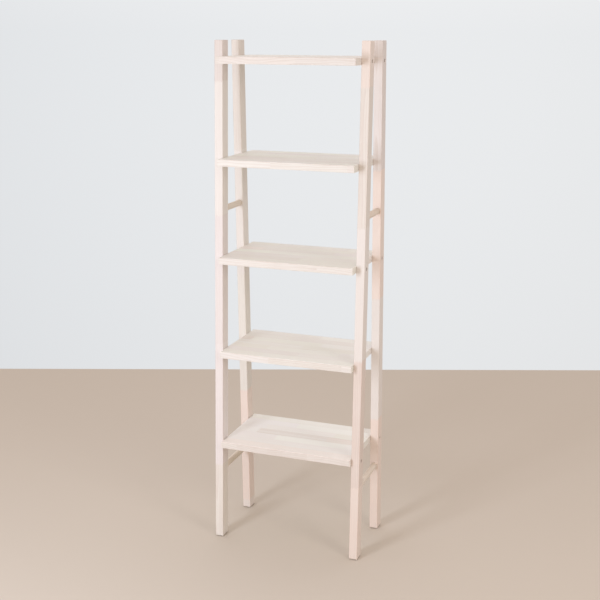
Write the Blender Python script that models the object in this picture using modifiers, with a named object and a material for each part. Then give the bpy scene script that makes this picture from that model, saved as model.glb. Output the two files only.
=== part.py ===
"""A free-standing ladder shelf: two leaning ladders joined by five boards.

Units are metres, +Z is up and the front is towards -Y. The origin is on the floor, under
the middle of the shelf. A place is named by its side (left or right) and its row (front or
rear), each of which is a sign: -1 for left or front, +1 for right or rear.
"""
import math

import bmesh
import bpy
from mathutils import Matrix, Vector

# Overall sizes
TOTAL_HEIGHT = 1.800
CLEAR_WIDTH = 0.490         # between the inner faces of the two ladders
FOOT_SPREAD = 0.306         # over the front and rear legs, at the feet
TOP_SPREAD = 0.187          # over the front and rear legs, at their tops

# Legs
LEG_WIDTH = 0.030
LEG_DEPTH = 0.046           # measured level, from front to back
LEG_EDGE_RADIUS = 0.0015

# Boards
BOARD_DEPTH = 0.312
BOARD_THICKNESS = 0.024
BOARD_EDGE_RADIUS = 0.0015
BOTTOM_BOARD_HEIGHT = 0.379  # of the upper face, above the floor
LEG_RISE = 0.053            # of the legs above the top board

# Rungs
RUNG_RADIUS = 0.011
RUNG_END_CHAMFER = 0.001
RUNG_SOCKET_DEPTH = 0.022
LOWER_RUNG_DROP = 0.094     # of its centre line under the bottom board

# Bolts
BOLT_HEAD_RADIUS = 0.006
BOLT_HEAD_HEIGHT = 0.003
BOLT_HEAD_CHAMFER = 0.0005
BOLT_SHANK_RADIUS = 0.003
BOLT_TIP_CHAMFER = 0.001
BOLT_TIP_PAST_NUT = 0.010
BOLT_RECESS_DEPTH = 0.006
HEX_KEY_RADIUS = 0.0023     # to the corners of the hexagon
HEX_KEY_DEPTH = 0.0018

# Barrel nuts
NUT_RADIUS = 0.005
NUT_LENGTH = 0.014
NUT_SETBACK = 0.030         # from the end of the board to the centre of the nut
NUT_SLOT_WIDTH = 0.0018
NUT_SLOT_DEPTH = 0.0015

# Wooden dowel pins
PIN_RADIUS = 0.005
PIN_DEPTH_IN_LEG = 0.015
PIN_DEPTH_IN_BOARD = 0.025
PIN_CHAMFER = 0.001

# Floor glides
GLIDE_RADIUS = 0.011
GLIDE_HEIGHT = 0.003
GLIDE_CHAMFER = 0.0008
GLIDE_NAIL_RADIUS = 0.0015
GLIDE_NAIL_LENGTH = 0.015
GLIDE_NAIL_POINT = 0.003

# Fits and facets
GAP = 0.0003                # between pieces that touch
OVERCUT = 0.002             # of a cutter past the face that it opens
EDGE_SEGMENTS = 3
FINE_SIDES = 32
SMALL_SIDES = 20
SMOOTH_ANGLE = math.radians(40)

SIDES = {"left": -1, "right": 1}
ROWS = {"front": -1, "rear": 1}
BOLTED_BOARDS = ("top_shelf", "middle_shelf", "bottom_shelf")
PINNED_BOARDS = ("second_shelf", "fourth_shelf")
BOARD_ORDER = ("bottom_shelf", "fourth_shelf", "middle_shelf", "second_shelf", "top_shelf")

FOOT_HEIGHT = GLIDE_HEIGHT + GAP
LEG_LENGTH = TOTAL_HEIGHT - FOOT_HEIGHT
LEG_CENTRE_X = (CLEAR_WIDTH + LEG_WIDTH) / 2
BOARD_LENGTH = CLEAR_WIDTH - 2 * GAP
TOP_BOARD_HEIGHT = TOTAL_HEIGHT - LEG_RISE
BOARD_STEP = (TOP_BOARD_HEIGHT - BOTTOM_BOARD_HEIGHT) / (len(BOARD_ORDER) - 1)
BOARD_CENTRES = {
    name: BOTTOM_BOARD_HEIGHT + place * BOARD_STEP - BOARD_THICKNESS / 2
    for place, name in enumerate(BOARD_ORDER)
}
RUNG_HEIGHTS = {
    "upper": (BOARD_CENTRES["second_shelf"] + BOARD_CENTRES["middle_shelf"]) / 2,
    "lower": BOARD_CENTRES["bottom_shelf"] - BOARD_THICKNESS / 2 - LOWER_RUNG_DROP,
}


def leg_centre_y(height):
    """Distance of a leg's centre line from the middle plane, at a height above the floor."""
    share = (height - FOOT_HEIGHT) / LEG_LENGTH
    spread = FOOT_SPREAD + (TOP_SPREAD - FOOT_SPREAD) * share
    return (spread - LEG_DEPTH) / 2


# Scene helpers


def clear_scene():
    for item in list(bpy.data.objects):
        bpy.data.objects.remove(item, do_unlink=True)


def new_collection(name):
    collection = bpy.data.collections.new(name)
    bpy.context.scene.collection.children.link(collection)
    return collection


def principled(name, colour, roughness, metallic=0.0):
    material = bpy.data.materials.new(name)
    material.use_nodes = True
    shader = material.node_tree.nodes["Principled BSDF"]
    shader.inputs["Base Color"].default_value = (*colour, 1.0)
    shader.inputs["Roughness"].default_value = roughness
    shader.inputs["Metallic"].default_value = metallic
    return material


def add_part(name, mesh, material, location, rotation=(0, 0, 0)):
    part = bpy.data.objects.new(name, mesh)
    part.location = location
    part.rotation_euler = rotation
    part.parent = ROOT
    mesh.materials.append(material)
    PARTS.objects.link(part)
    return part


def add_cutter(name, mesh, location=(0, 0, 0), rotation=(0, 0, 0)):
    cutter = bpy.data.objects.new(name, mesh)
    cutter.location = location
    cutter.rotation_euler = rotation
    cutter.hide_render = True
    cutter.display_type = "WIRE"
    CUTTERS.objects.link(cutter)
    return cutter


def cut(part, cutter):
    boolean = part.modifiers.new(cutter.name, "BOOLEAN")
    boolean.operation = "DIFFERENCE"
    boolean.solver = "EXACT"
    boolean.object = cutter


def round_edges(part, width, segments):
    bevel = part.modifiers.new("edges", "BEVEL")
    bevel.width = width
    bevel.segments = segments
    bevel.limit_method = "ANGLE"
    bevel.angle_limit = SMOOTH_ANGLE


# Mesh helpers


def mesh_from(bm, name, smooth=False):
    mesh = bpy.data.meshes.new(name)
    bm.to_mesh(mesh)
    bm.free()
    if smooth:
        mesh.shade_smooth()
        mesh.set_sharp_from_angle(angle=SMOOTH_ANGLE)
    return mesh


def box_mesh(name, size):
    bm = bmesh.new()
    bmesh.ops.create_cube(bm, size=1.0, matrix=Matrix.Diagonal((*size, 1.0)))
    return mesh_from(bm, name)


def add_rod(bm, start, end, radius, sides):
    """Add a closed cylinder between two points to a mesh."""
    start = Vector(start)
    span = Vector(end) - start
    turn = span.to_track_quat("Z", "Y").to_matrix().to_4x4()
    bmesh.ops.create_cone(
        bm, cap_ends=True, segments=sides, radius1=radius, radius2=radius,
        depth=span.length, matrix=Matrix.Translation(start + span / 2) @ turn)


def rod_mesh(name, length, radius, sides):
    """A cylinder along Z, centred on the origin."""
    bm = bmesh.new()
    add_rod(bm, (0, 0, -length / 2), (0, 0, length / 2), radius, sides)
    return mesh_from(bm, name, smooth=True)


def profile_mesh(name, outline):
    """An open outline of (radius, height) points, to be turned about Z."""
    bm = bmesh.new()
    points = [bm.verts.new((radius, 0, height)) for radius, height in outline]
    for first, second in zip(points, points[1:]):
        bm.edges.new((first, second))
    return mesh_from(bm, name)


def turn_profile(part, sides):
    screw = part.modifiers.new("turn", "SCREW")
    screw.axis = "Z"
    screw.angle = math.tau
    screw.steps = sides
    screw.render_steps = sides
    screw.use_merge_vertices = True
    screw.merge_threshold = 0.00001
    screw.use_smooth_shade = True


# Wood


def leg_bores(name, side, row):
    """Bolt bores, pin bores, rung sockets and the hole for the glide's nail, in one leg."""
    bm = bmesh.new()
    outer = side * (CLEAR_WIDTH / 2 + LEG_WIDTH)
    inner = side * CLEAR_WIDTH / 2
    for board in BOLTED_BOARDS:
        height = BOARD_CENTRES[board]
        y = row * leg_centre_y(height)
        add_rod(bm, (outer + side * OVERCUT, y, height), (inner - side * OVERCUT, y, height),
                BOLT_SHANK_RADIUS + GAP, SMALL_SIDES)
    for board in PINNED_BOARDS:
        height = BOARD_CENTRES[board]
        y = row * leg_centre_y(height)
        floor = inner + side * (PIN_DEPTH_IN_LEG + GAP)
        add_rod(bm, (inner - side * OVERCUT, y, height), (floor, y, height),
                PIN_RADIUS + GAP, SMALL_SIDES)
    for height in RUNG_HEIGHTS.values():
        mouth = row * (leg_centre_y(height) - LEG_DEPTH / 2)
        floor = mouth + row * RUNG_SOCKET_DEPTH
        x = side * LEG_CENTRE_X
        add_rod(bm, (x, mouth - row * OVERCUT, height), (x, floor, height),
                RUNG_RADIUS + GAP, FINE_SIDES)
    foot_y = row * leg_centre_y(FOOT_HEIGHT)
    nail_top = GLIDE_HEIGHT + GLIDE_NAIL_LENGTH + GAP
    add_rod(bm, (side * LEG_CENTRE_X, foot_y, FOOT_HEIGHT - OVERCUT),
            (side * LEG_CENTRE_X, foot_y, nail_top), GLIDE_NAIL_RADIUS + GAP, SMALL_SIDES)
    return add_cutter(name, mesh_from(bm, name))


def leg_recesses(name, side, row):
    """The recesses for the bolt heads, in the outer face of one leg."""
    bm = bmesh.new()
    outer = side * (CLEAR_WIDTH / 2 + LEG_WIDTH)
    for board in BOLTED_BOARDS:
        height = BOARD_CENTRES[board]
        y = row * leg_centre_y(height)
        add_rod(bm, (outer + side * OVERCUT, y, height),
                (outer - side * BOLT_RECESS_DEPTH, y, height),
                BOLT_HEAD_RADIUS + GAP, FINE_SIDES)
    return add_cutter(name, mesh_from(bm, name))


def make_leg(side_name, row_name, material):
    side = SIDES[side_name]
    row = ROWS[row_name]
    name = f"{row_name}_{side_name}_leg"
    mesh = box_mesh(name, (LEG_WIDTH, LEG_DEPTH, LEG_LENGTH))
    middle = FOOT_HEIGHT + LEG_LENGTH / 2
    lean = row * (leg_centre_y(TOTAL_HEIGHT) - leg_centre_y(FOOT_HEIGHT)) / LEG_LENGTH
    mesh.transform(Matrix(((1, 0, 0, 0), (0, 1, lean, 0), (0, 0, 1, 0), (0, 0, 0, 1))))
    location = (side * LEG_CENTRE_X, row * leg_centre_y(middle), middle)
    leg = add_part(name, mesh, material, location)
    round_edges(leg, LEG_EDGE_RADIUS, EDGE_SEGMENTS)
    cut(leg, leg_bores(name + "_bores", side, row))
    cut(leg, leg_recesses(name + "_recesses", side, row))


def board_bores(name, reach, radius, height):
    """A bore into each end of a board, on the centre line of every leg."""
    bm = bmesh.new()
    y = leg_centre_y(height)
    for side in SIDES.values():
        end = side * BOARD_LENGTH / 2
        for row in ROWS.values():
            add_rod(bm, (end + side * OVERCUT, row * y, height),
                    (end - side * reach, row * y, height), radius, SMALL_SIDES)
    return add_cutter(name, mesh_from(bm, name))


def nut_wells(name, height):
    """The wells for the barrel nuts, drilled from the underside of a board."""
    bm = bmesh.new()
    y = leg_centre_y(height)
    for side in SIDES.values():
        x = side * (BOARD_LENGTH / 2 - NUT_SETBACK)
        for row in ROWS.values():
            add_rod(bm, (x, row * y, height - BOARD_THICKNESS / 2 - OVERCUT),
                    (x, row * y, height + NUT_LENGTH / 2 + GAP), NUT_RADIUS + GAP, SMALL_SIDES)
    return add_cutter(name, mesh_from(bm, name))


def make_board(name, material):
    height = BOARD_CENTRES[name]
    mesh = box_mesh(name, (BOARD_LENGTH, BOARD_DEPTH, BOARD_THICKNESS))
    board = add_part(name, mesh, material, (0, 0, height))
    round_edges(board, BOARD_EDGE_RADIUS, EDGE_SEGMENTS)
    if name in BOLTED_BOARDS:
        reach = NUT_SETBACK + BOLT_TIP_PAST_NUT + GAP
        cut(board, board_bores(name + "_bolt_bores", reach, BOLT_SHANK_RADIUS + GAP, height))
        cut(board, nut_wells(name + "_nut_wells", height))
    else:
        reach = PIN_DEPTH_IN_BOARD + GAP
        cut(board, board_bores(name + "_pin_bores", reach, PIN_RADIUS + GAP, height))


def make_rung(level, side_name, material):
    name = f"{level}_{side_name}_rung"
    height = RUNG_HEIGHTS[level]
    reach = leg_centre_y(height) - LEG_DEPTH / 2 + RUNG_SOCKET_DEPTH - GAP
    mesh = rod_mesh(name, 2 * reach, RUNG_RADIUS, FINE_SIDES)
    location = (SIDES[side_name] * LEG_CENTRE_X, 0, height)
    rung = add_part(name, mesh, material, location, (math.radians(90), 0, 0))
    round_edges(rung, RUNG_END_CHAMFER, 1)


def make_pin(board, side_name, row_name, material):
    """A wooden pin that joins a board to a leg, half in each."""
    side = SIDES[side_name]
    name = f"{board}_{row_name}_{side_name}_pin"
    height = BOARD_CENTRES[board]
    mesh = rod_mesh(name, PIN_DEPTH_IN_LEG + PIN_DEPTH_IN_BOARD, PIN_RADIUS, SMALL_SIDES)
    x = side * (CLEAR_WIDTH / 2 + (PIN_DEPTH_IN_LEG - PIN_DEPTH_IN_BOARD) / 2)
    location = (x, ROWS[row_name] * leg_centre_y(height), height)
    pin = add_part(name, mesh, material, location, (0, math.radians(90), 0))
    round_edges(pin, PIN_CHAMFER, 1)


# Hardware


def bolt_outline():
    """From the middle of the head's outer face to the middle of the tip."""
    length = LEG_WIDTH - BOLT_RECESS_DEPTH + 2 * GAP + NUT_SETBACK + BOLT_TIP_PAST_NUT
    return (
        (0, BOLT_HEAD_HEIGHT),
        (BOLT_HEAD_RADIUS - BOLT_HEAD_CHAMFER, BOLT_HEAD_HEIGHT),
        (BOLT_HEAD_RADIUS, BOLT_HEAD_HEIGHT - BOLT_HEAD_CHAMFER),
        (BOLT_HEAD_RADIUS, 0),
        (BOLT_SHANK_RADIUS, 0),
        (BOLT_SHANK_RADIUS, BOLT_TIP_CHAMFER - length),
        (BOLT_SHANK_RADIUS - BOLT_TIP_CHAMFER, -length),
        (0, -length),
    )


def make_bolt(board, side_name, row_name, material):
    """A bolt whose head bears on the floor of the leg's recess, with a hexagonal key socket."""
    side = SIDES[side_name]
    name = f"{board}_{row_name}_{side_name}_bolt"
    height = BOARD_CENTRES[board]
    seat = CLEAR_WIDTH / 2 + LEG_WIDTH - BOLT_RECESS_DEPTH + GAP
    location = (side * seat, ROWS[row_name] * leg_centre_y(height), height)
    rotation = (0, side * math.radians(90), 0)
    bolt = add_part(name, profile_mesh(name, bolt_outline()), material, location, rotation)
    turn_profile(bolt, SMALL_SIDES)
    bm = bmesh.new()
    add_rod(bm, (0, 0, BOLT_HEAD_HEIGHT - HEX_KEY_DEPTH), (0, 0, BOLT_HEAD_HEIGHT + OVERCUT),
            HEX_KEY_RADIUS, 6)
    key_name = name + "_key_socket"
    cut(bolt, add_cutter(key_name, mesh_from(bm, key_name), location, rotation))


def make_nut(board, side_name, row_name, material):
    """A barrel nut standing in its well, with a cross hole for the bolt and a driver slot."""
    side = SIDES[side_name]
    name = f"{board}_{row_name}_{side_name}_barrel_nut"
    height = BOARD_CENTRES[board]
    x = side * (BOARD_LENGTH / 2 - NUT_SETBACK)
    location = (x, ROWS[row_name] * leg_centre_y(height), height)
    mesh = rod_mesh(name, NUT_LENGTH, NUT_RADIUS, SMALL_SIDES)
    half_facet = math.pi / SMALL_SIDES
    nut = add_part(name, mesh, material, location, (0, 0, half_facet))
    bm = bmesh.new()
    half_hole = NUT_RADIUS + OVERCUT
    add_rod(bm, (-half_hole, 0, 0), (half_hole, 0, 0), BOLT_SHANK_RADIUS + GAP, SMALL_SIDES)
    slot_size = Matrix.Diagonal((2 * half_hole, NUT_SLOT_WIDTH, 2 * NUT_SLOT_DEPTH, 1.0))
    slot_place = Matrix.Translation((0, 0, -NUT_LENGTH / 2))
    bmesh.ops.create_cube(bm, size=1.0, matrix=slot_place @ slot_size)
    cuts_name = name + "_cuts"
    cut(nut, add_cutter(cuts_name, mesh_from(bm, cuts_name), location))


def glide_outline():
    """From the middle of the nail's point down to the middle of the pad's sole."""
    nail_top = GLIDE_HEIGHT + GLIDE_NAIL_LENGTH
    return (
        (0, nail_top),
        (GLIDE_NAIL_RADIUS, nail_top - GLIDE_NAIL_POINT),
        (GLIDE_NAIL_RADIUS, GLIDE_HEIGHT),
        (GLIDE_RADIUS, GLIDE_HEIGHT),
        (GLIDE_RADIUS, GLIDE_CHAMFER),
        (GLIDE_RADIUS - GLIDE_CHAMFER, 0),
        (0, 0),
    )


def make_glide(side_name, row_name, material):
    name = f"{row_name}_{side_name}_floor_glide"
    location = (SIDES[side_name] * LEG_CENTRE_X, ROWS[row_name] * leg_centre_y(FOOT_HEIGHT), 0)
    glide = add_part(name, profile_mesh(name, glide_outline()), material, location)
    turn_profile(glide, FINE_SIDES)


def make_shelf():
    leg_wood = principled("leg_wood", (0.78, 0.68, 0.60), 0.55)
    board_wood = principled("board_wood", (0.80, 0.71, 0.62), 0.50)
    rung_wood = principled("rung_wood", (0.76, 0.66, 0.54), 0.55)
    pin_wood = principled("pin_wood", (0.70, 0.56, 0.40), 0.65)
    bolt_steel = principled("bolt_steel", (0.20, 0.18, 0.17), 0.40, metallic=1.0)
    nut_steel = principled("nut_steel", (0.62, 0.61, 0.58), 0.35, metallic=1.0)
    glide_plastic = principled("glide_plastic", (0.10, 0.09, 0.08), 0.60)
    for board in BOARD_ORDER:
        make_board(board, board_wood)
    for side_name in SIDES:
        for level in RUNG_HEIGHTS:
            make_rung(level, side_name, rung_wood)
        for row_name in ROWS:
            make_leg(side_name, row_name, leg_wood)
            make_glide(side_name, row_name, glide_plastic)
            for board in BOLTED_BOARDS:
                make_bolt(board, side_name, row_name, bolt_steel)
                make_nut(board, side_name, row_name, nut_steel)
            for board in PINNED_BOARDS:
                make_pin(board, side_name, row_name, pin_wood)


clear_scene()
PARTS = new_collection("ladder_shelf")
CUTTERS = new_collection("cutters")
ROOT = bpy.data.objects.new("ladder_shelf_root", None)
PARTS.objects.link(ROOT)
make_shelf()
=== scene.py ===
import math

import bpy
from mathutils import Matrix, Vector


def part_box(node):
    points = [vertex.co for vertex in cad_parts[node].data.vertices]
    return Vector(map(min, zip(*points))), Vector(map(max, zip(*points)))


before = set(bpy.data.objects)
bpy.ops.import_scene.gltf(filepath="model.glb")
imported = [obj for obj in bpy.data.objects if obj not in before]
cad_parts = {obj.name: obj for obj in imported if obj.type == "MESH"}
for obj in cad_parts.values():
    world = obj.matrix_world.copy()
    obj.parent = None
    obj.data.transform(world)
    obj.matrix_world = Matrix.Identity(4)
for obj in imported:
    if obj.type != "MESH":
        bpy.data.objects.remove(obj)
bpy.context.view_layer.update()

# Looks of the ladder shelf: whitewashed laminated wood, dark bolts and floor glides.
#
# Units are metres in the CAD model's frame: +Z is up, the front is towards -Y and the origin
# is on the floor. Every material is worked out from a place on the object itself, so a board's
# staves, a leg's grain and a bolt's turning marks follow that piece wherever it is seen from.

RIGHT = Vector((1, 0, 0))
LEFT = Vector((-1, 0, 0))
BACK = Vector((0, 1, 0))
UP = Vector((0, 0, 1))

# Camera
CAMERA_PLACE = (1.248, -3.400, 1.827)
CAMERA_LENS = 62.76                 # millimetres, on the sensor's width
CAMERA_SENSOR = 36.0                # millimetres
CAMERA_TURN = math.radians(20.14)
CAMERA_TILT = math.radians(-13.76)
CAMERA_ROLL = math.radians(0.15)
CAMERA_SHIFT = -0.02

# Studio
FLOOR_BEHIND = 1.93                 # from the shelf to the floor's far edge, along the view
FLOOR_BEFORE = 30.0
FLOOR_HALF_WIDTH = 30.0
FLOOR_COLOUR = (0.625, 0.575, 0.500)
EVEN_GLOW = (0.130, 0.115, 0.110)   # of the surround, the same all round
REAR_GLOW = (0.670, 0.695, 0.710)   # added towards each of these directions
FRONT_GLOW = (0.310, 0.280, 0.230)
LEFT_GLOW = (0.160, 0.180, 0.200)
SKY_GLOW = (0.690, 0.565, 0.520)
SOFTBOX_AIM = Vector((0, 0, 1.0))
SOFTBOXES = {
    "key_softbox": {
        "place": (-0.95, -2.60, 1.3),
        "size": (0.6, 1.5),
        "watts": 38,
        "colour": (0.83, 0.88, 1.0),
    },
    "right_softbox": {
        "place": (2.7, -1.55, 1.9),
        "size": (1.0, 1.2),
        "watts": 17,
        "colour": (1.0, 0.94, 0.92),
    },
}

# Sizes in the wood
LEG_DEPTH = 0.046                   # level, from front to back
STAVES_PER_BOARD = 7
ONE_STAVE = 7                       # a stave width that takes in a whole leg or rung
BOARD_BLOCK_LENGTH = 0.27
LEG_BLOCK_LENGTH = 0.46
RUNG_BLOCK_LENGTH = 1.0
FINGER_PITCH = 0.0050
FINGER_LENGTH = 0.009
GLUE_LINE_REACH = 0.00044           # from a glue line's middle to where it no longer shows
RING_WIDTH = 0.0026
HEART_SPREAD = 0.07                 # across a block, of the places where its trunk's heart may be
HEART_NEAREST = 0.018               # from the middle of a block's thickness, as is the next
HEART_FARTHEST = 0.075
RING_WANDER = 0.026                 # sideways, along a block
RING_UNEVENNESS = 1.6               # in ring widths
LATEWOOD_RISE = (0.25, 0.90)        # the parts of a ring where its latewood darkens, then ends
LATEWOOD_END = (0.92, 1.0)
EDGE_WIDTH = 0.0026
WOOD_BUMP_DISTANCE = 0.00025
WOOD_BUMP_STRENGTH = 0.45

# Cells of noise in a metre: along the grain, then across it
WANDER_CELLS = (2.6, 9.0)
UNEVENNESS_CELLS = (5.0, 260.0)
FIBRE_CELLS = (26.0, 780.0)
STREAK_CELLS = (4.0, 90.0)
FLECK_CELLS = (190.0, 1500.0)
CLOUD_CELLS = 7.0

# How the blocks of one piece vary
STAVE_DRAW = 0.5                    # sets the draw for staves apart from the draws for blocks
STAVE_SHIFTS = 9.0                  # block lengths that a stave's blocks may be moved by
GRAIN_SHIFTS = 40.0                 # cells of noise that a block's grain may be moved by
ROSE_BLOCKS = (0.50, 0.90)          # the draws between which a block turns rose
FLECK_LEVELS = (0.66, 0.76)         # of its noise, between which a fleck comes in
BOARD_CONTRAST = 0.34               # between the blocks of one piece; the bottom board's stronger contrast is partly darker staves and partly painted shade of the board above
BOTTOM_BOARD_CONTRAST_AND_SHADE = 0.75
LEG_CONTRAST = 0.46

# How much each mark in the wood adds to the latewood's colour, the wash, roughness and height
GRAIN_START = -0.13
GRAIN_WEIGHTS = {"ring": 0.30, "fibre": 0.26, "streak": 0.22, "fleck": 0.30, "joint": 0.45}
WASH_START = 0.14
WASH_WEIGHTS = {"cloud": 0.30, "fibre": 0.22, "edge": -0.30}
WOOD_ROUGHNESS = 0.38
WOOD_ROUGHNESS_WEIGHTS = {"fibre": 0.16, "cloud": 0.12, "ring": 0.05, "edge": -0.10}
WOOD_HEIGHT_WEIGHTS = {"fibre": 0.60, "ring": 0.22, "fleck": -0.35, "joint": -0.45}

# Wood colours: the tints that blocks vary between, then the latewood's and the wash's
BOARD_TONES = {
    "cream": (0.930, 0.960, 0.870),
    "lavender": (0.895, 0.875, 0.870),
    "rose": (0.910, 0.835, 0.775),
    "latewood": (0.630, 0.515, 0.430),
    "wash": (0.925, 0.950, 0.930),
}
LEG_TONES = {
    "cream": (0.830, 0.800, 0.710),
    "lavender": (0.820, 0.755, 0.755),
    "rose": (0.880, 0.710, 0.610),
    "latewood": (0.560, 0.420, 0.340),
    "wash": (0.850, 0.820, 0.790),
}
RUNG_TONES = {
    "cream": (0.830, 0.760, 0.610),
    "lavender": (0.780, 0.690, 0.600),
    "rose": (0.790, 0.660, 0.540),
    "latewood": (0.540, 0.400, 0.280),
    "wash": (0.840, 0.790, 0.700),
}

# A number for each wooden piece, which decides its blocks and its grain
BOARD_SEEDS = {
    "top_shelf": 200.6,
    "second_shelf": 878.9,
    "middle_shelf": 231.2,
    "fourth_shelf": 2122.4,
    "bottom_shelf": 371.0,
}
LEG_SEEDS = {
    "front_left": 793.3,
    "front_right": 880.1,
    "rear_left": 147.9,
    "rear_right": 883.6,
}
RUNG_SEEDS = {
    "upper_left": 131.3,
    "upper_right": 139.0,
    "lower_left": 146.7,
    "lower_right": 154.4,
}
PIN_SEED = 211.0

# Metal: each finish's axis, colours, turning marks and the radius of its worn rim
BOLT_STEEL = {
    "axis": RIGHT,
    "dark": (0.008, 0.007, 0.006),
    "bright": (0.060, 0.054, 0.047),
    "metallic": 0.35,
    "mark_pitch": 0.00022,
    "rim": 0.0060,
}
NUT_STEEL = {
    "axis": UP,
    "dark": (0.420, 0.410, 0.380),
    "bright": (0.760, 0.750, 0.720),
    "metallic": 1.0,
    "mark_pitch": 0.00030,
    "rim": 0.0050,
}
MARK_TAPER = 0.3                    # how far a turning mark closes in, for each metre along the axis
GRIME_CELLS = 420.0                 # in a metre, as are those of the scratches
SCRATCH_CELLS = (300.0, 2600.0, 500.0)
SCRATCH_LEVELS = (0.60, 0.72)
WORN_START = 0.0009                 # inside the rim, where the wear starts and where it is full
WORN_FULL = 0.0002
SHINE_WEIGHTS = {"worn": 0.45, "scratch": 0.35, "grime": 0.30, "turning": 0.08}
METAL_ROUGHNESS = 0.22
METAL_ROUGHNESS_WEIGHTS = {"grime": 0.30, "turning": 0.06, "worn": -0.10}
METAL_HEIGHT_WEIGHTS = {"turning": 0.4, "grime": 0.5, "scratch": -0.4}
METAL_BUMP_DISTANCE = 0.00006
METAL_BUMP_STRENGTH = 0.6

# Plastic of the floor glides
PLASTIC_DARK = (0.018, 0.016, 0.014)
PLASTIC_DUSTY = (0.150, 0.135, 0.118)
PEBBLE_CELLS = 2600.0               # in a metre
DUST_CELLS = 160.0
RUBBED_WIDTH = 0.0016
DUSTY_START = -0.20
DUSTY_WEIGHTS = {"dust": 0.45, "pebble": 0.20, "rubbed": 0.30}
PLASTIC_ROUGHNESS = 0.35
PLASTIC_ROUGHNESS_WEIGHTS = {"pebble": 0.25, "dust": 0.20, "rubbed": -0.12}
PLASTIC_BUMP_DISTANCE = 0.00008
PLASTIC_BUMP_STRENGTH = 0.5


# Node trees, written as formulas


class Formulas:
    """A node tree whose nodes are added by formulas on numbers and sockets."""

    def __init__(self, tree):
        self.tree = tree

    def feed(self, socket, value):
        if isinstance(value, bpy.types.NodeSocket):
            self.tree.links.new(value, socket)
        else:
            socket.default_value = value

    def node(self, kind, inputs, **settings):
        made = self.tree.nodes.new(kind)
        for name, value in settings.items():
            setattr(made, name, value)
        for key, value in inputs.items():
            self.feed(made.inputs[key], value)
        return made

    def math(self, operation, *values):
        return self.node("ShaderNodeMath", dict(enumerate(values)), operation=operation).outputs[0]

    def scaled(self, value, factor, offset=0.0):
        return self.math("MULTIPLY_ADD", value, factor, offset)

    def weighted(self, marks, weights, start=0.0):
        """The start, plus each named mark times its weight."""
        total = start
        for name, weight in weights.items():
            total = self.scaled(marks[name], weight, total)
        return total

    def radius(self, x, y):
        """How far the place (x, y) is from (0, 0)."""
        squares = self.math("ADD", self.math("POWER", x, 2.0), self.math("POWER", y, 2.0))
        return self.math("SQRT", squares)

    def inside(self, reach, value):
        """How far the value is inside the range from -reach to reach."""
        return self.math("SUBTRACT", reach, self.math("ABSOLUTE", value))

    def to_whole(self, value):
        """How far the value is from the nearest whole number."""
        return self.math("PINGPONG", value, 0.5)

    def ramp(self, value, start, end, first, last):
        """A smooth change from first to last while the value goes from start to end."""
        span = {"Value": value, "From Min": start, "From Max": end, "To Min": first, "To Max": last}
        return self.node("ShaderNodeMapRange", span, interpolation_type="SMOOTHSTEP").outputs[0]

    def rise(self, value, start, end):
        return self.ramp(value, start, end, 0.0, 1.0)

    def fall(self, value, start, end):
        return self.ramp(value, start, end, 1.0, 0.0)

    def vector(self, x, y, z):
        return self.node("ShaderNodeCombineXYZ", {0: x, 1: y, 2: z}).outputs[0]

    def split(self, vector):
        outputs = self.node("ShaderNodeSeparateXYZ", {0: vector}).outputs
        return outputs[0], outputs[1], outputs[2]

    def noise(self, vector, scale=1.0, detail=2.0, roughness=0.5):
        values = {"Vector": vector, "Scale": scale, "Detail": detail, "Roughness": roughness}
        return self.node("ShaderNodeTexNoise", values).outputs[0]

    def random(self, x, y, z):
        """Three numbers from 0 to 1 that depend only on x, y and z."""
        values = {"Vector": self.vector(x, y, z)}
        colour = self.node("ShaderNodeTexWhiteNoise", values, noise_dimensions="3D").outputs["Color"]
        return self.split(colour)


class Recipe(Formulas):
    """A new material, written as formulas on the place on the object."""

    def __init__(self, name):
        self.material = bpy.data.materials.new(name)
        self.material.use_nodes = True
        super().__init__(self.material.node_tree)
        self.shader = self.tree.nodes["Principled BSDF"]
        self.place = self.tree.nodes.new("ShaderNodeTexCoord").outputs["Object"]

    def own_axes(self, centre, along, across):
        """The place in a piece's own axes: along it, across it, and through it."""
        through = along.cross(across)
        turn = Matrix((along, across, through)).transposed().to_euler()
        values = {"Vector": self.place, "Location": centre, "Rotation": turn}
        return self.node("ShaderNodeMapping", values, vector_type="TEXTURE").outputs[0]

    def mix(self, factor, first, second):
        """The first colour where the factor is 0 or less, and the second where it is 1 or more."""
        mixer = self.tree.nodes.new("ShaderNodeMix")
        mixer.data_type = "RGBA"
        sockets = (mixer.inputs["Factor"], mixer.inputs[6], mixer.inputs[7])
        for socket, value in zip(sockets, (factor, first, second)):
            if isinstance(value, tuple):
                value = (*value, 1.0)
            self.feed(socket, value)
        return mixer.outputs[2]

    def bump(self, height, distance, strength):
        values = {"Height": height, "Distance": distance, "Strength": strength}
        return self.node("ShaderNodeBump", values).outputs[0]

    def finish(self, colour, roughness, normal):
        self.feed(self.shader.inputs["Base Color"], colour)
        self.feed(self.shader.inputs["Roughness"], roughness)
        self.feed(self.shader.inputs["Normal"], normal)
        return self.material


def centre_and_half(node):
    """The middle of a CAD piece's box, and half its size each way."""
    low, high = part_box(node)
    return (low + high) / 2, (high - low) / 2


# Wood


def edge_mask(recipe, distances):
    """1 on a piece's edges, where two faces are near, and 0 away from them."""
    first, second, third = distances
    nearer = recipe.math("MINIMUM", first, second)
    farther = recipe.math("MAXIMUM", first, second)
    second_nearest = recipe.math("MAXIMUM", nearer, recipe.math("MINIMUM", farther, third))
    return recipe.fall(second_nearest, 0.0, EDGE_WIDTH)


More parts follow.
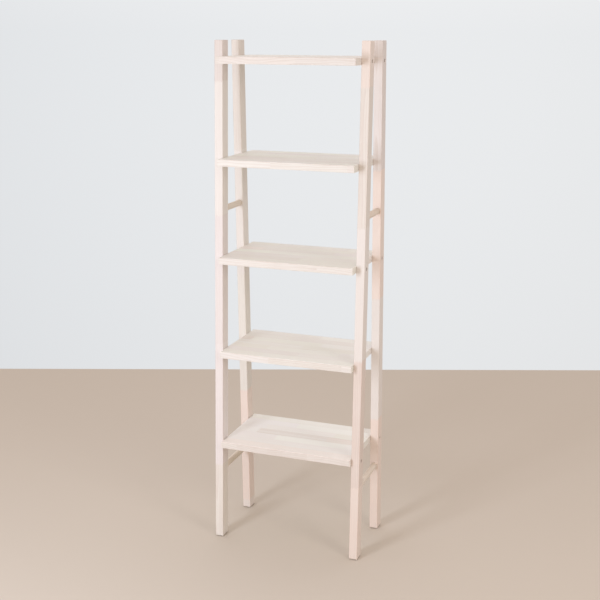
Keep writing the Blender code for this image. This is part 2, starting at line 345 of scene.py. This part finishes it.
def blocks(recipe, along, across, stave_width, block_length, seed):
    """Three random numbers for each finger-jointed block, and how strongly a glue line shows."""
    stave_place = recipe.scaled(across, 1 / stave_width, STAVES_PER_BOARD / 2)
    stave = recipe.math("FLOOR", stave_place)
    stave_shift = recipe.random(stave, seed, STAVE_DRAW)[0]
    zigzag = recipe.math("PINGPONG", across, FINGER_PITCH / 2)
    reach = recipe.scaled(zigzag, 2 * FINGER_LENGTH / FINGER_PITCH, along)
    block_place = recipe.scaled(reach, 1 / block_length, recipe.scaled(stave_shift, STAVE_SHIFTS))
    block = recipe.math("FLOOR", block_place)
    to_side = recipe.scaled(recipe.to_whole(stave_place), stave_width)
    to_end = recipe.scaled(recipe.to_whole(block_place), block_length)
    line = recipe.fall(recipe.math("MINIMUM", to_side, to_end), 0.0, GLUE_LINE_REACH)
    return recipe.random(stave, block, seed), line


def growth_rings(recipe, here, numbers, seed):
    """Latewood lines of a trunk whose heart is beside the block, from 0 to 1."""
    along, across, through = here
    heart_across = recipe.scaled(numbers[0], HEART_SPREAD, -HEART_SPREAD / 2)
    heart_depth = recipe.scaled(numbers[1], HEART_FARTHEST - HEART_NEAREST, HEART_NEAREST)
    wander_along, wander_across = WANDER_CELLS
    wander_place = recipe.vector(
        recipe.scaled(along, wander_along), recipe.scaled(across, wander_across), numbers[2]
    )
    wander = recipe.scaled(recipe.noise(wander_place), RING_WANDER, -RING_WANDER / 2)
    side = recipe.math("ADD", recipe.math("SUBTRACT", across, heart_across), wander)
    radius = recipe.radius(side, recipe.math("ADD", through, heart_depth))
    uneven_along, uneven_across = UNEVENNESS_CELLS
    uneven_place = recipe.vector(
        recipe.scaled(along, uneven_along), recipe.scaled(radius, uneven_across), seed
    )
    uneven = recipe.scaled(recipe.noise(uneven_place, detail=1.0), RING_UNEVENNESS)
    in_ring = recipe.math("FRACT", recipe.scaled(radius, 1 / RING_WIDTH, uneven))
    darkening = recipe.rise(in_ring, *LATEWOOD_RISE)
    return recipe.math("MULTIPLY", darkening, recipe.fall(in_ring, *LATEWOOD_END))


def along_grain(recipe, here, shift, cells):
    """The place for a noise drawn out along the grain."""
    cells_along, cells_across = cells
    along, across, through = here
    return recipe.vector(
        recipe.scaled(along, cells_along, shift),
        recipe.scaled(across, cells_across),
        recipe.scaled(through, cells_across),
    )


def whitewashed_wood(name, centre, axes, distances, grain, tones, seed):
    """Pale wood under a thin white wash, for one piece.

    axes are the directions along and across the grain. distances takes the recipe and the
    place along, across and through, and returns how far that place is from the piece's three
    pairs of faces. grain is the stave width, the block length and the contrast between blocks,
    which in the bottom board is partly painted shade, and tones names the wood colours.
    """
    recipe = Recipe(name)
    own = recipe.own_axes(centre, *axes)
    here = recipe.split(own)
    stave_width, block_length, contrast = grain
    numbers, joint = blocks(recipe, here[0], here[1], stave_width, block_length, seed)
    shift = recipe.scaled(numbers[1], GRAIN_SHIFTS, seed)
    fibre_place, streak_place, fleck_place = (
        along_grain(recipe, here, shift, cells)
        for cells in (FIBRE_CELLS, STREAK_CELLS, FLECK_CELLS)
    )
    marks = {
        "edge": edge_mask(recipe, distances(recipe, *here)),
        "joint": joint,
        "ring": growth_rings(recipe, here, numbers, seed),
        "fibre": recipe.noise(fibre_place, detail=3.0, roughness=0.6),
        "streak": recipe.noise(streak_place),
        "fleck": recipe.rise(recipe.noise(fleck_place, detail=1.0), *FLECK_LEVELS),
        "cloud": recipe.noise(own, CLOUD_CELLS, detail=3.0, roughness=0.55),
    }

    tint = recipe.mix(numbers[2], tones["cream"], tones["lavender"])
    tint = recipe.mix(recipe.rise(numbers[0], *ROSE_BLOCKS), tint, tones["rose"])
    # How much darker each block is; in the bottom board this is partly painted shade of the board
    # above.
    block_darkness_and_shade = recipe.scaled(numbers[1], contrast, GRAIN_START - contrast / 2)
    grain_amount = recipe.weighted(marks, GRAIN_WEIGHTS, block_darkness_and_shade)
    wood = recipe.mix(grain_amount, tint, tones["latewood"])
    colour = recipe.mix(recipe.weighted(marks, WASH_WEIGHTS, WASH_START), wood, tones["wash"])
    roughness = recipe.weighted(marks, WOOD_ROUGHNESS_WEIGHTS, WOOD_ROUGHNESS)
    height = recipe.weighted(marks, WOOD_HEIGHT_WEIGHTS)
    normal = recipe.bump(height, WOOD_BUMP_DISTANCE, WOOD_BUMP_STRENGTH)
    return recipe.finish(colour, roughness, normal)


def board_wood(node, seed):
    centre, half = centre_and_half(node)

    def distances(recipe, along, across, through):
        places = (along, across, through)
        return [recipe.inside(reach, place) for reach, place in zip(half, places)]

    # The bottom board's blocks differ more: partly darker staves, partly painted shade of the board
    # above.
    contrast = BOTTOM_BOARD_CONTRAST_AND_SHADE if node == "bottom_shelf" else BOARD_CONTRAST
    grain = (2 * half.y / STAVES_PER_BOARD, BOARD_BLOCK_LENGTH, contrast)
    axes = (RIGHT, BACK)
    return whitewashed_wood(f"{node}_wood", centre, axes, distances, grain, BOARD_TONES, seed)


def leg_wood(node, row, seed):
    """Wood of a leg, whose row is 1 at the rear and -1 at the front."""
    centre, half = centre_and_half(node)
    lean = -row * (half.y - LEG_DEPTH / 2) / half.z
    along = Vector((0, lean, 1)).normalized()
    half_thickness = LEG_DEPTH / 2 * along.z

    def distances(recipe, _, across, through):
        height = recipe.split(recipe.place)[2]
        to_end = recipe.inside(half.z, recipe.scaled(height, 1.0, -centre.z))
        return to_end, recipe.inside(half.x, across), recipe.inside(half_thickness, through)

    grain = (ONE_STAVE, LEG_BLOCK_LENGTH, LEG_CONTRAST)
    axes = (along, RIGHT)
    return whitewashed_wood(f"{node}_wood", centre, axes, distances, grain, LEG_TONES, seed)


def rung_wood(node, seed):
    """Wood of a rung, with its grain from front to back. The hidden pins take it too."""
    centre, half = centre_and_half(node)

    def distances(recipe, along, across, through):
        to_round = recipe.math("SUBTRACT", half.z, recipe.radius(across, through))
        return recipe.inside(half.y, along), to_round, 1.0

    grain = (ONE_STAVE, RUNG_BLOCK_LENGTH, LEG_CONTRAST)
    axes = (BACK, LEFT)
    return whitewashed_wood(f"{node}_wood", centre, axes, distances, grain, RUNG_TONES, seed)


# Metal and plastic


def turned_steel(node, steel):
    """Turned metal on one axis: ring marks round it, grime, scratches and a bright worn rim."""
    centre, _ = centre_and_half(node)
    recipe = Recipe(f"{node}_steel")
    recipe.shader.inputs["Metallic"].default_value = steel["metallic"]
    own = recipe.own_axes(centre, steel["axis"], BACK)
    here = recipe.split(own)
    along, across, through = here
    radius = recipe.radius(across, through)
    mark_place = recipe.scaled(along, MARK_TAPER, radius)
    turning = recipe.math("PINGPONG", mark_place, steel["mark_pitch"])
    scratch_place = recipe.vector(
        *(recipe.scaled(value, cells) for value, cells in zip(here, SCRATCH_CELLS))
    )
    rim = steel["rim"]
    marks = {
        "turning": recipe.scaled(turning, 1 / steel["mark_pitch"]),
        "grime": recipe.noise(own, GRIME_CELLS, detail=4.0, roughness=0.6),
        "scratch": recipe.rise(recipe.noise(scratch_place), *SCRATCH_LEVELS),
        "worn": recipe.rise(radius, rim - WORN_START, rim - WORN_FULL),
    }
    colour = recipe.mix(recipe.weighted(marks, SHINE_WEIGHTS), steel["dark"], steel["bright"])
    roughness = recipe.weighted(marks, METAL_ROUGHNESS_WEIGHTS, METAL_ROUGHNESS)
    height = recipe.weighted(marks, METAL_HEIGHT_WEIGHTS)
    normal = recipe.bump(height, METAL_BUMP_DISTANCE, METAL_BUMP_STRENGTH)
    return recipe.finish(colour, roughness, normal)


def glide_plastic(node):
    """Dark moulded plastic: a fine moulding texture, patches of dust and a rubbed rim."""
    centre, half = centre_and_half(node)
    recipe = Recipe(f"{node}_plastic")
    own = recipe.own_axes(centre, UP, RIGHT)
    _, across, through = recipe.split(own)
    radius = recipe.radius(across, through)
    marks = {
        "pebble": recipe.noise(own, PEBBLE_CELLS),
        "dust": recipe.noise(own, DUST_CELLS, detail=4.0, roughness=0.6),
        "rubbed": recipe.rise(radius, half.x - RUBBED_WIDTH, half.x),
    }
    dusty = recipe.weighted(marks, DUSTY_WEIGHTS, DUSTY_START)
    colour = recipe.mix(dusty, PLASTIC_DARK, PLASTIC_DUSTY)
    roughness = recipe.weighted(marks, PLASTIC_ROUGHNESS_WEIGHTS, PLASTIC_ROUGHNESS)
    normal = recipe.bump(marks["pebble"], PLASTIC_BUMP_DISTANCE, PLASTIC_BUMP_STRENGTH)
    return recipe.finish(colour, roughness, normal)


def dress(node, material):
    """Gives a CAD piece its detailed material."""
    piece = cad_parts[node]
    piece.data.materials.clear()
    piece.data.materials.append(material)


def dress_all():
    for board, seed in BOARD_SEEDS.items():
        dress(board, board_wood(board, seed))
    for place, seed in LEG_SEEDS.items():
        leg = f"{place}_leg"
        dress(leg, leg_wood(leg, 1 if place.startswith("rear") else -1, seed))
        glide = f"{place}_floor_glide"
        dress(glide, glide_plastic(glide))
    for place, seed in RUNG_SEEDS.items():
        rung = f"{place}_rung"
        dress(rung, rung_wood(rung, seed))
    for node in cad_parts:
        if node.endswith("_bolt"):
            dress(node, turned_steel(node, BOLT_STEEL))
        elif node.endswith("_barrel_nut"):
            dress(node, turned_steel(node, NUT_STEEL))
        elif node.endswith("_pin"):
            dress(node, rung_wood(node, PIN_SEED))


# Studio


def add_floor():
    """A plain pale floor, whose far edge lies straight across the camera's view."""
    corners = (
        (-FLOOR_HALF_WIDTH, -FLOOR_BEFORE),
        (FLOOR_HALF_WIDTH, -FLOOR_BEFORE),
        (FLOOR_HALF_WIDTH, FLOOR_BEHIND),
        (-FLOOR_HALF_WIDTH, FLOOR_BEHIND),
    )
    turn = Matrix.Rotation(CAMERA_TURN, 3, "Z")
    mesh = bpy.data.meshes.new("studio_floor")
    mesh.from_pydata([turn @ Vector((x, y, 0)) for x, y in corners], [], [(0, 1, 2, 3)])
    floor = bpy.data.objects.new("studio_floor", mesh)
    bpy.context.scene.collection.objects.link(floor)
    material = bpy.data.materials.new("pale_floor")
    material.use_nodes = True
    shader = material.node_tree.nodes["Principled BSDF"]
    shader.inputs["Base Color"].default_value = (*FLOOR_COLOUR, 1)
    shader.inputs["Roughness"].default_value = 1.0
    shader.inputs["Specular IOR Level"].default_value = 0.0
    mesh.materials.append(material)


def add_surround():
    """Plain soft light from all round: brightest behind and overhead, dimmest on the right."""
    world = bpy.data.worlds.new("studio_surround")
    world.use_nodes = True
    sky = Formulas(world.node_tree)
    direction = sky.tree.nodes.new("ShaderNodeTexCoord").outputs["Generated"]
    sideways, depth, height = sky.split(direction)
    lobes = (
        (depth, REAR_GLOW),
        (sky.scaled(depth, -1.0), FRONT_GLOW),
        (sky.scaled(sideways, -1.0), LEFT_GLOW),
        (height, SKY_GLOW),
    )
    shades = EVEN_GLOW
    for towards, glow in lobes:
        reach = sky.math("MAXIMUM", towards, 0.0)
        shades = [sky.scaled(reach, part, shade) for part, shade in zip(glow, shades)]
    colour = sky.node("ShaderNodeCombineColor", dict(enumerate(shades))).outputs[0]
    sky.feed(sky.tree.nodes["Background"].inputs["Color"], colour)
    bpy.context.scene.world = world


def add_softbox(name, place, size, watts, colour):
    """A rectangular lamp aimed at the shelf, which the camera doesn't see."""
    light = bpy.data.lights.new(name, "AREA")
    light.shape = "RECTANGLE"
    light.size, light.size_y = size
    light.energy = watts
    light.color = colour
    lamp = bpy.data.objects.new(name, light)
    lamp.location = place
    lamp.visible_camera = False
    lamp.rotation_euler = (Vector(place) - SOFTBOX_AIM).to_track_quat("Z", "Y").to_euler()
    bpy.context.scene.collection.objects.link(lamp)


def add_softboxes():
    for name, settings in SOFTBOXES.items():
        add_softbox(name, **settings)


def add_camera():
    """A camera in front and to the right of the shelf, turned and tilted down towards it."""
    data = bpy.data.cameras.new("camera")
    data.lens = CAMERA_LENS
    data.sensor_width = CAMERA_SENSOR
    data.shift_y = CAMERA_SHIFT
    camera = bpy.data.objects.new("camera", data)
    turn = Matrix.Rotation(CAMERA_TURN, 3, "Z")
    tilt = Matrix.Rotation(math.pi / 2 + CAMERA_TILT, 3, "X")
    roll = Matrix.Rotation(CAMERA_ROLL, 3, "Z")
    camera.rotation_euler = (turn @ tilt @ roll).to_euler()
    camera.location = CAMERA_PLACE
    bpy.context.scene.collection.objects.link(camera)
    bpy.context.scene.camera = camera


dress_all()
add_floor()
add_surround()
add_softboxes()
add_camera()
bpy.context.scene.view_settings.view_transform = "Standard"
